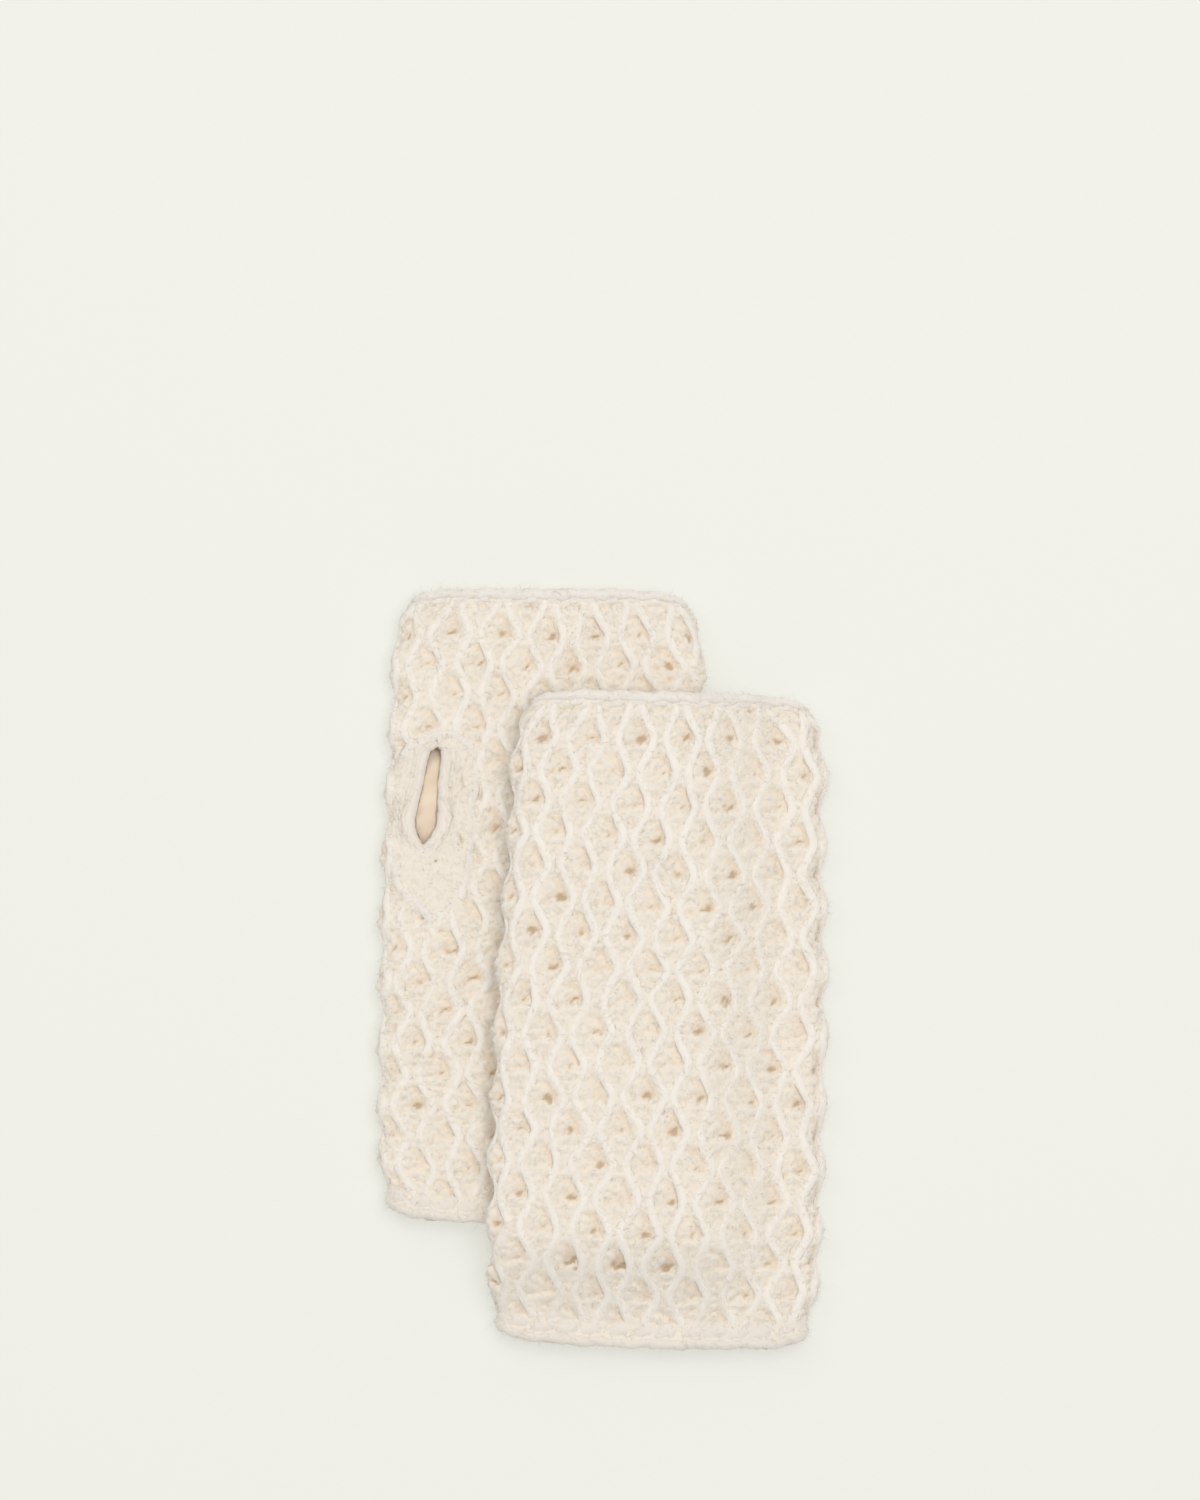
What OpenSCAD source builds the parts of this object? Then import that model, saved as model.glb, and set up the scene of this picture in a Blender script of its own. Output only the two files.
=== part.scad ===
// A pair of hand-knitted fingerless gloves, laid flat with the front glove on the rear one.
// Each glove is a flattened tube of thick fabric, open at both ends, with a thumb slit in its palm.
// The origin is on the table under the middle of the pair, and +Y points to the finger ends.

/* [Glove] */
// Flat width across the palm
palm_w = 111; // [106:1:116]
// Flat width at the wrist hem
wrist_w = 107; // [102:1:110]
// Flat width where the finger shoulders begin
knuckle_w = 105; // [100:1:110]
// Flat width of the finger opening
finger_w = 91; // [85:1:97]
// Length of the rear glove, which lies beneath
rear_len = 209; // [203:1:213]
// Length of the front glove, which lies on top
front_len = 216; // [208:1:220]

/* [Fabric] */
// Thickness of one knitted layer
layer_t = 5; // [4:0.5:6]
// Space for the hand between the two layers
hand_gap = 4.6; // [4.6:0.2:6]

/* [Edges] */
// Depth of the bound-off edge round the finger opening
finger_edge_d = 4.5; // [3:0.5:6]
// Depth of the cast-on hem round the wrist opening
wrist_edge_d = 12; // [8:1:16]

/* [Thumb slit] */
// Length of the slit
slit_len = 33; // [28:1:36]
// Width of the slit at its middle
slit_w = 8; // [7:0.5:9]
// Width of the knitted edging round the slit
slit_edging_w = 3; // [2:0.5:3.5]
// Distance from the thumb side of the glove to the middle of the slit
slit_in = 15.5; // [15:0.5:20]
// Distance from the wrist hem to the middle of the slit
slit_up = 140; // [130:1:145]
// Lean of the slit towards the fingers' side
slit_lean = 5; // [0:1:7]

/* [Layout] */
// Turn of the rear glove, finger end to the right
rear_turn = 0.6; // [0:0.1:1]
// Turn of the front glove, finger end to the right
front_turn = 1.8; // [1:0.1:2]
// Clearance between the two gloves
clearance = 0.4; // [0.4:0.1:1]
// Distance over which the front glove falls from the rear glove to the table
drape_run = 32; // [31:1:34]

/* [Hidden] */
PARTS = ["palm_panel", "back_panel", "thumb_fold", "outer_fold",
         "finger_edge", "wrist_edge", "thumb_slit_edging"];
fabric_color = "ivory";
edge_color = "oldlace";

// The flattened tube: its whole thickness, and the radius of its folded sides
glove_t = 2 * layer_t + hand_gap;
fold_r = glove_t / 2;

// The middle of each glove's wrist hem, on the table
REAR_AT = [-19, -83.6];
FRONT_AT = [16.6, -124.5];

// The front glove starts to fall where the rear glove's outer fold and wrist hem end
drape_x = REAR_AT[0] + palm_w / 2 - fold_r + 1;
drape_y = REAR_AT[1] - 2;

// Shares of the length: where the hem has widened, where the taper begins, and the shoulders
hem_share = 0.14;
taper_share = 0.45;
shoulder_share = 0.88;
shoulder_power = 2.5;

// Divisions along the glove, along a band, across a panel, and round a fold
along_n = 30;
band_n = 4;
across_n = 18;
fold_n = 10;

// Past the faces of what a cutter cuts
cut_margin = 1;

function ease(t) = let (c = min(max(t, 0), 1)) c * c * (3 - 2 * c);

// Half of the flat width at share s of the length, from the wrist at 0 to the fingers at 1
function half_width(s) =
    let (
        hem = (palm_w - wrist_w) / 2 * (1 - ease(s / hem_share)),
        taper = (palm_w - knuckle_w) / 2 * ease((s - taper_share) / (shoulder_share - taper_share)),
        past = max(s - shoulder_share, 0) / (1 - shoulder_share),
        shoulder = (knuckle_w - finger_w) / 2 * pow(past, shoulder_power)
    )
    palm_w / 2 - hem - taper - shoulder;

function length_of(front) = front ? front_len : rear_len;
function shares(from, to, n) = [for (i = [0:n]) from + (to - from) * i / n];
function panel_shares(front) = shares(
    wrist_edge_d / length_of(front), 1 - finger_edge_d / length_of(front), along_n);

// Stretches of the tube's cross-section, at distance r from its middle plane: [across, up]
function top_row(half, r) =
    [for (u = shares(fold_r - half, half - fold_r, across_n)) [u, fold_r + r]];
function bottom_row(half, r) = [for (p = top_row(half, r)) [-p[0], fold_r - r]];
function right_row(half, r) =
    [for (a = shares(90, -90, fold_n)) [half - fold_r + r * cos(a), fold_r + r * sin(a)]];
function left_row(half, r) = [for (p = right_row(half, r)) [-p[0], glove_t - p[1]]];
function first_points(row) = [for (i = [0:len(row) - 2]) row[i]];
function whole_ring(half, r) = concat(
    first_points(top_row(half, r)), first_points(right_row(half, r)),
    first_points(bottom_row(half, r)), first_points(left_row(half, r)));
function row_of(part, half, r) =
    part == "top" ? top_row(half, r) :
    part == "bottom" ? bottom_row(half, r) :
    part == "right" ? right_row(half, r) :
    part == "left" ? left_row(half, r) : whole_ring(half, r);

// Height of the front glove's underside: on the rear glove, then down to the table
function drape(x, y) =
    (glove_t + clearance) * (1 - ease((x - drape_x) / drape_run)) * (1 - ease((drape_y - y) / drape_run));

// A point of the flat glove, given as [across, along, up], where the glove lies
function laid(p, front) =
    let (
        at = front ? FRONT_AT : REAR_AT,
        turn = front ? front_turn : rear_turn,
        x = at[0] + p[0] * cos(turn) + p[1] * sin(turn),
        y = at[1] - p[0] * sin(turn) + p[1] * cos(turn)
    )
    [x, y, p[2] + (front ? drape(x, y) : 0)];

function face_points(part, front, s_list, r) =
    [for (s = s_list) for (p = row_of(part, half_width(s), r)) laid([p[0], s * length_of(front), p[1]], front)];

// Two triangles on four corners in order
function pair(a, b, c, d) = [[a, b, c], [a, c, d]];

// A stretch of the knitted tube: part of its cross-section, swept along the shares in s_list
module tube_stretch(part, front, s_list) {
    outer = face_points(part, front, s_list, fold_r);
    inner = face_points(part, front, s_list, hand_gap / 2);
    n = len(s_list);
    m = len(outer) / n;
    closed = part == "ring";
    last = closed ? m - 1 : m - 2;
    shift = n * m;
    outer_faces = [for (i = [0:n - 2]) for (j = [0:last]) each
        pair(i * m + j, (i + 1) * m + j, (i + 1) * m + (j + 1) % m, i * m + (j + 1) % m)];
    inner_faces = [for (f = outer_faces) [f[2] + shift, f[1] + shift, f[0] + shift]];
    end_faces = [for (j = [0:last]) each concat(
        pair(j, (j + 1) % m, (j + 1) % m + shift, j + shift),
        [for (f = pair(j, (j + 1) % m, (j + 1) % m + shift, j + shift))
            [for (k = [2:-1:0]) f[k] + (n - 1) * m]])];
    side_faces = closed ? [] : [for (i = [0:n - 2]) each concat(
        pair(i * m, i * m + shift, (i + 1) * m + shift, (i + 1) * m),
        pair((i + 1) * m - 1, (i + 2) * m - 1, (i + 2) * m - 1 + shift, (i + 1) * m - 1 + shift))];
    polyhedron(concat(outer, inner), concat(outer_faces, inner_faces, end_faces, side_faces));
}

// The pointed oval where two equal circles overlap
module lens(length, width) {
    r = (length * length + width * width) / (4 * width);
    intersection() {
        translate([r - width / 2, 0]) circle(r, $fn = 180);
        translate([width / 2 - r, 0]) circle(r, $fn = 180);
    }
}

// Places its children at the middle of a glove's thumb slit, on the table or the rear glove
module at_slit(front) {
    s = slit_up / length_of(front);
    spot = laid([slit_in - half_width(s), slit_up, 0], front);
    translate(spot) rotate(-slit_lean) children();
}

module slit_cutter(front, height) {
    at_slit(front)
        translate([0, 0, -cut_margin])
            linear_extrude(height + 2 * cut_margin)
                lens(slit_len + 2 * slit_edging_w, slit_w + 2 * slit_edging_w);
}

// One layer of a glove that lies flat, between its two folds
module flat_panel() {
    s_list = panel_shares(false);
    left = [for (s = s_list) [fold_r - half_width(s), s * rear_len]];
    right = [for (i = [len(left) - 1:-1:0]) [-left[i][0], left[i][1]]];
    translate([REAR_AT[0], REAR_AT[1], 0])
        rotate(-rear_turn)
            linear_extrude(layer_t) polygon(concat(left, right));
}

// The side with the thumb slit: above on the rear glove, below on the front glove
module palm_panel(front) {
    color(fabric_color)
        if (front) {
            difference() {
                tube_stretch("bottom", true, panel_shares(true));
                slit_cutter(true, layer_t);
            }
        } else {
            translate([0, 0, glove_t - layer_t])
                difference() {
                    flat_panel();
                    slit_cutter(false, layer_t);
                }
        }
}

module back_panel(front) {
    color(fabric_color)
        if (front) {
            tube_stretch("top", true, panel_shares(true));
        } else {
            flat_panel();
        }
}

module thumb_fold(front) {
    color(fabric_color) tube_stretch("left", front, panel_shares(front));
}

module outer_fold(front) {
    color(fabric_color) tube_stretch("right", front, panel_shares(front));
}

module finger_edge(front) {
    color(edge_color) tube_stretch("ring", front, shares(1 - finger_edge_d / length_of(front), 1, band_n));
}

module wrist_edge(front) {
    color(edge_color) tube_stretch("ring", front, shares(0, wrist_edge_d / length_of(front), band_n));
}

module thumb_slit_edging(front) {
    color(edge_color)
        translate([0, 0, front ? 0 : glove_t - layer_t])
            at_slit(front)
                linear_extrude(layer_t)
                    difference() {
                        lens(slit_len + 2 * slit_edging_w, slit_w + 2 * slit_edging_w);
                        lens(slit_len, slit_w);
                    }
}

palm_panel(false);  // rear_palm_panel
back_panel(false);  // rear_back_panel
thumb_fold(false);  // rear_thumb_fold
outer_fold(false);  // rear_outer_fold
finger_edge(false);  // rear_finger_edge
wrist_edge(false);  // rear_wrist_edge
thumb_slit_edging(false);  // rear_thumb_slit_edging
palm_panel(true);  // front_palm_panel
back_panel(true);  // front_back_panel
thumb_fold(true);  // front_thumb_fold
outer_fold(true);  // front_outer_fold
finger_edge(true);  // front_finger_edge
wrist_edge(true);  // front_wrist_edge
thumb_slit_edging(true);  // front_thumb_slit_edging
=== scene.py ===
"""Hand-knitted fingerless gloves in honeycomb stitch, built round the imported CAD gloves.

Everything is laid out in knitting coordinates: c, the cell count round the tube; v, the distance
from the wrist in millimetres; and r, the height above the middle of the fabric in millimetres.
A Glove turns them into points of the laid glove, and the meshes are stored in metres.
"""
import math

import bpy
import numpy as np
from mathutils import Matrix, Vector


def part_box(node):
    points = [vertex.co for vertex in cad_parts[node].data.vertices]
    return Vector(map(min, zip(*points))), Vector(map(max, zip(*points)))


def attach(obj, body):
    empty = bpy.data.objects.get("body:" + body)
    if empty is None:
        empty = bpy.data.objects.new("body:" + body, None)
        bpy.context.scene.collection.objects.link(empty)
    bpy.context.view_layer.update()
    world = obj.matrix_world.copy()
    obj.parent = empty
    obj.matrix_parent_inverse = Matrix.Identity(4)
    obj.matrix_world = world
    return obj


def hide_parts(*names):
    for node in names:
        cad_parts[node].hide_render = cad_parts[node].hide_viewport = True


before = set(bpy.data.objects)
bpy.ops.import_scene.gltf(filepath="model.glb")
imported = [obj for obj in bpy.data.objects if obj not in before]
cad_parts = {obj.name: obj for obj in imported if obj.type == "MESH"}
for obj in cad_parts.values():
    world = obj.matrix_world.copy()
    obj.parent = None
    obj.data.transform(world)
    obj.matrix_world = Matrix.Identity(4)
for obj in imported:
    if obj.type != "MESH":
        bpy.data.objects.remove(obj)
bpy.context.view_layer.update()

MM = 0.001
METRES_TO_MM = 1000.0
TURN = 2 * math.pi
rng = np.random.default_rng(20)

# ---------------------------------------------------------------- sizes, from the frame, in mm


def box_mm(node):
    low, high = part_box(node)
    return np.array(low) * METRES_TO_MM, np.array(high) * METRES_TO_MM


def height_of(node):
    low, high = box_mm(node)
    return high[2] - low[2]


LAYER_T = height_of("rear_back_panel")
GLOVE_T = height_of("rear_wrist_edge")
FOLD_R = GLOVE_T / 2
MID_R = FOLD_R - LAYER_T / 2

# How high the front glove rides on the rear one, where it starts to fall from it, and over what distance
LIFT = box_mm("front_thumb_slit_edging")[0][2]
FALL_X = box_mm("rear_outer_fold")[1][0] - FOLD_R
FALL_GAP = 1.0
FALL_Y = box_mm("rear_wrist_edge")[0][1] - FALL_GAP
FALL_RUN = 32.0
# How far from a station of the CAD's outline its points may lie
STATION_REACH = 0.8

# ---------------------------------------------------------------- the stitch pattern, in mm

CELLS = 14
ROWS = 19
# The first and the last row of cells: how far they lie from the wrist and from the fingers
HEM_ROW = 17.9
LAST_ROW = 5.0
CELL_W = 16.5
# Radius at which the way round a fold is measured
COUNT_R = 6.0
# Random drift of the stitches, and its waves: how many, the longest and the shortest
SWAY = 0.8
SWAY_WAVES = (7, 160.0, 60.0)
# Distance from each end over which the drift fades, as the ends are held straight
SWAY_FADE = 12.0
# A honeycomb strand: its yarn, its height, and its swing as a share of a cell
YARN_W = 3.3
YARN_H = 1.7
STRAND_R = 0.02
SWING = 0.128
# Random drift of a strand as a share of a cell, and the spread of its swing
STRAND_DRIFT = 0.022
SWING_SPREAD = 0.12
# Least and most width of a strand's yarn as a share, and the spread of its height
YARN_SPREAD = (0.95, 1.06)
STRAND_R_SPREAD = 0.05
# How much a strand rises at its turns, sinks under the plain ground and sinks into the hem, and the hem's top
STRAND_RISE = 0.12
STRAND_SINK = 2.5
STRAND_HEM_SINK = 1.2
HEM_TOP = 5.0
# How plain the ground must be for a strand to stop there, and the points that the shortest strand has to pass
STRAND_HIDDEN = 0.4
FEWEST_POINTS = 4
# Where the strands start from the wrist and stop before the fingers, and the step along them
STRAND_START = 4.5
STRAND_STOP = 3.0
STRAND_STEP = 1.3
# Uneven thickness of the wool, as a share of the yarn's radius
ROUGHNESS = 0.05
# The slow thickening along a yarn: its share of the radius, and its length for each radian
THICKENING = 0.05
THICKENING_RUN = 4.0
# Thickness of a yarn's very end, as a share, and how much each ring after it adds
END_THICKNESS = 0.35
END_GROWTH = 0.4
# Random start of the wool's streaks along a yarn
STREAK_SHIFT = 50
# Short steps sideways and outward, that tell which way the fabric lies and faces
SIDE_STEP = 0.05
OUT_STEP = 0.5
# Fabric heights: its inner side, the hollows of its outer side, and the ridge under a strand
INNER_R = -LAYER_T / 2
HOLLOW_R = -0.25
RIDGE_RISE = 1.0
RIDGE_HALF = 2.1
# Small uneven lumps of the wool, as waves: how many, the longest, the shortest and the most turns round
LUMP_WAVES = (18, 9.0, 2.6, 70)
LUMP_RISE = 0.24
LUMP_MIDDLE = 0.5
# The creases between the lumps: their width and how dark their painted shade is
CREASE_HALF = 0.3
CREASE_PAINTED_SHADE = 0.5
# How much fainter they are in the plain ground
CREASE_LOSS = 0.3
# The height at which the recesses start, and how far down they reach; over that depth the painted shade of
# the recesses deepens
RECESS_TOP = 1.0
RECESS_DEPTH = 2.5
# The thick ends of the fabric: their height, and how far they reach from the wrist and the fingers
EDGE_R = 0.5
WRIST_REACH = 9.0
FINGER_REACH = 5.0
# Distances over which the honeycomb passes into those ends
WRIST_BLEND = 4.0
FINGER_BLEND = 3.0
# How far the cells on a fold swell sideways, and how far from the wrist and the fingers that starts
FOLD_SWELL = 2.0
SWELL_FROM_WRIST = 6.0
SWELL_FROM_FINGERS = 12.0
# The mean swell as a share of the most
SWELL_MEAN = 0.3
# How far the corners of the wrist and finger ends draw back from a straight edge
WRIST_BOW = 6.5
WRIST_BOW_RUN = 50.0
FINGER_BOW = 2.5
FINGER_BOW_RUN = 30.0
# The share of the wrist's bow that is a slow curve, the rest being at the corners
SLOW_BOW = 0.2
# How much narrower the very ends are, as a share of the width, and over what distance
WRIST_DRAW = 0.01
FINGER_DRAW = 0.02
DRAW_RUN = 10.0
# Puffs of wool in a cell: right, up, half width, half height, arch, slope and rise
CELL_PUFFS = [
    (0.2, -2.8, 5.0, 1.8, 1.0, 0.12, 1.05),
    (-2.0, -5.8, 2.6, 1.6, 0.3, 0.10, 0.9),
    (2.3, -6.6, 2.2, 1.5, 0.2, -0.10, 0.9),
    (0.0, -8.8, 2.3, 1.5, 0.3, 0.00, 0.8),
    (-3.4, 0.6, 2.4, 1.7, 0.3, 0.25, 1.0),
    (-2.2, 3.6, 2.8, 1.6, 0.3, -0.35, 0.95),
    (0.0, 7.6, 3.2, 1.5, 0.8, 0.00, 0.9),
    (0.0, 9.8, 1.9, 1.3, 0.2, 0.00, 0.8),
]
# How sharply one puff parts from the next
PUFF_BLEND = 4.0
# Openings in a cell, a dip with painted shade: right, up, half length, half height, slope and strength
CELL_HOLES = [
    (1.5, 0.0, 1.9, 1.1, 0.40, 1.0),
    (2.0, -5.0, 0.9, 0.8, 0.00, 0.55),
    (0.9, 1.4, 3.4, 2.6, 0.20, 0.42),
]
# The hollow beside the right strand, above the opening, a shallow dip with painted shade: its lower and upper
# end, spread and strength
HOOK = (-1.8, 7.4, 3.0, 0.52)
# Distances over which it fades at its lower end, at its upper end and under the strand
HOOK_FADE = (1.5, 2.5, 0.5)
# How deep the fabric dips in an opening, and how strong an opening must be for that
HOLE_DEPTH = 1.6
HOLE_START = 0.25
# Random shift of a puff
PUFF_SHIFT = 0.3
# Sizes of the openings as a share of the table's: usual, spread, least and most
HOLE_USUAL = 0.9
HOLE_SPREAD = 0.25
HOLE_LEAST = 0.5
HOLE_MOST = 1.3
# How far the wool's lumps push an opening's edge about
HOLE_RAGGED = 0.45
# The row of cells that is stretched open near the wrist of the front glove, its middle and its reach
STRETCHED_ROW = 1
STRETCHED_MIDDLE = -12.0
STRETCHED_REACH = 24.0
# How much larger that row's openings are, and how much stronger their painted shade is
STRETCHED_GROWTH = 0.45
STRETCHED_DARKNESS = 0.5

# ---------------------------------------------------------------- the thumb slit, in mm

SLIT_LENGTH = 33.0
# Half width of the opening at places from its lower end, minus one, to its upper end, one
SLIT_PROFILE = [
    (-1.04, 0.0),
    (-0.92, 2.6),
    (-0.7, 5.2),
    (-0.45, 6.3),
    (-0.1, 5.2),
    (0.3, 4.0),
    (0.75, 3.9),
    (0.95, 3.4),
    (1.04, 0.0),
]
# How far from the slit its stitches are pushed aside, and how much it leans right for each millimetre up
SLIT_REACH = 9.0
SLIT_LEAN = 0.11
# How much narrower the opening gets for each millimetre down
SLIT_FUNNEL = 0.2
# How far the layer under the opening swells up toward it, and how far round it
UNDER_SWELL = 5.2
UNDER_REACH = 9.0
# Plain-knitted ground round the slit: its half size, its middle from the slit's, its stitches and its height
PLAIN_ACROSS = 13.0
PLAIN_ALONG = 27.0
PLAIN_RIGHT = 2.0
PLAIN_DOWN = 8.0
PLAIN_W = 4.6
PLAIN_H = 3.4
PLAIN_R = 0.3
PLAIN_RISE = 0.45
PLAIN_SLANT = 0.7
# Its outline: how square the corners are, where the blend into the honeycomb ends, and how wide the blend is
PLAIN_SQUARE = 2.6
PLAIN_END = 1.3
PLAIN_BLEND = 0.6
# Strands that frame the plain ground: points right of and above the slit's middle
SLIT_FRAMES = [
    [(-9.5, 12.0), (-6.0, 17.5), (0.0, 20.5), (7.0, 20.0), (13.0, 14.0), (14.5, 5.0), (13.0, -3.0),
     (14.5, -11.0), (16.5, -20.0), (14.5, -29.0), (9.0, -37.0)],
    [(-11.0, -18.0), (-10.5, -25.0), (-6.5, -31.0), (0.0, -36.0), (4.0, -41.0)],
]
# How far past the plain ground's outline those strands are looked for, and the farthest that they reach
FRAME_MARGIN = 0.6
FRAME_REACH = 10.0
# Small openings in the plain ground, a dip with painted shade: right, up, half length, half height, slope and
# strength
SLIT_HOLES = [
    (9.0, 6.0, 2.2, 2.6, -1.6, 0.65),
    (5.5, -5.0, 1.2, 1.2, -1.2, 0.7),
    (11.5, -12.5, 2.2, 1.0, -1.1, 0.8),
    (13.0, -28.0, 1.6, 1.0, -0.4, 0.7),
    (-1.0, -21.5, 2.0, 1.2, 0.0, 0.5),
    (-5.0, 14.0, 1.8, 1.0, 0.6, 0.5),
    (4.5, -21.0, 0.8, 0.7, 0.0, 1.0),
    (3.5, -27.0, 1.0, 0.6, 0.2, 0.6),
]
# The lip's rise above the ground, its reach beside the slit and its reach past the ends
LIP_RISE = 0.8
LIP_REACH = 5.0
LIP_PAST_ENDS = 2.0
# The cord round the slit: its distance from the slit, height, width and thickness
LIP_CORD = (1.2, -0.8, 3.2, 3.4)
LIP_CORD_POINTS = 90
# The bumps of its stitches: how many and how high
LIP_BUMPS = 20
LIP_BUMP_RISE = 0.3

# ---------------------------------------------------------------- the fabric's mesh

# Points of the outer side for one of the inner side, and inner points to a cell and along the glove
FINE = 4
COARSE_PER_CELL = 5.5
COARSE_ROWS = 74
END_GAP = 1.5
# How dark the painted shade of the inner side is, as a share of an opening's
INNER_PAINTED_SHADE = 0.48
TONE_SPREAD = 0.12
# Ribs of the inner side: their height, their spacing, and how many to a cell
RIB_RISE = 0.35
RIB_PITCH = 4.2
RIBS_PER_CELL = 4
# Yarn coordinates to a cell, for the wool's streaks
STREAKS_PER_CELL = 8.0

# ---------------------------------------------------------------- the edges, in mm

# Cord round an opening: its distance from the end, height, width and thickness
FINGER_CORD = (2.0, -0.7, 3.8, 3.8)
WRIST_CORD = (2.0, -0.9, 3.6, 4.0)
CORD_POINTS_PER_CELL = 20
CORD_WAVE = 0.2
CORD_RISE = 0.25
# Stitches beside the cord: distance from the end, height, span in cells, slope, width and thickness
FINGER_STITCH = (4.0, -0.2, 0.66, 1.2, 2.8, 1.9)
WRIST_STITCH = (5.8, -0.75, 0.8, 3.0, 6.2, 3.2)
# Their random shift round the glove in cells and along it, their tilt, and how far their ends sink
STITCH_SHIFT_C = 0.02
STITCH_SHIFT_V = 0.15
STITCH_TILT = 0.4
STITCH_SINK = 1.4
STITCH_POINTS = 9

# ---------------------------------------------------------------- loose fibres, in mm

FUZZ_PIECES = 3
FUZZ_FIBRES = 14000
FUZZ_RINGS = 3
FUZZ_WIDTH = 0.13
FUZZ_LENGTH = 1.9
FUZZ_LONGEST = 4.0
# How alike the lengths are, how much a fibre curls, and how much thinner its tip is
FUZZ_ALIKE = 4.0
FUZZ_CURL = 1.3
FUZZ_TAPER = 0.9
# How much a fibre leans away from the wool, and the deepest recess that grows fibres
FUZZ_LIFT = 0.5
FUZZ_DEPTH = 0.8


def ease(t):
    t = np.clip(t, 0.0, 1.0)
    return t * t * (3.0 - 2.0 * t)


def unit(vectors):
    return vectors / np.maximum(np.linalg.norm(vectors, axis=-1, keepdims=True), 1e-9)


def rounded_path(points, cuts=4):
    """Cuts the corners of a path until it is a smooth curve."""
    path = np.array(points)
    for _ in range(cuts):
        near, far = path[:-1], path[1:]
        middle = np.stack([0.75 * near + 0.25 * far, 0.25 * near + 0.75 * far], axis=1).reshape(-1, 2)
        path = np.concatenate([path[:1], middle, path[-1:]])
    return path


def waves(seed, count, longest, shortest, most_turns=4):
    """A smooth random field over (c, v): wave numbers, phases and sizes."""
    pick = np.random.default_rng(seed)
    turns = pick.integers(-most_turns, most_turns + 1, count)
    along = TURN / pick.uniform(shortest, longest, count)
    phase = pick.uniform(0, TURN, count)
    size = pick.uniform(0.5, 1.0, count)
    return turns, along, phase, size / np.sqrt((size**2).sum())


def field(spec, c, v):
    turns, along, phase, size = spec
    total = np.zeros(np.broadcast(c, v).shape)
    for k in range(len(turns)):
        total = total + size[k] * np.sin(TURN * turns[k] * c / CELLS + along[k] * v + phase[k])
    return total


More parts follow.
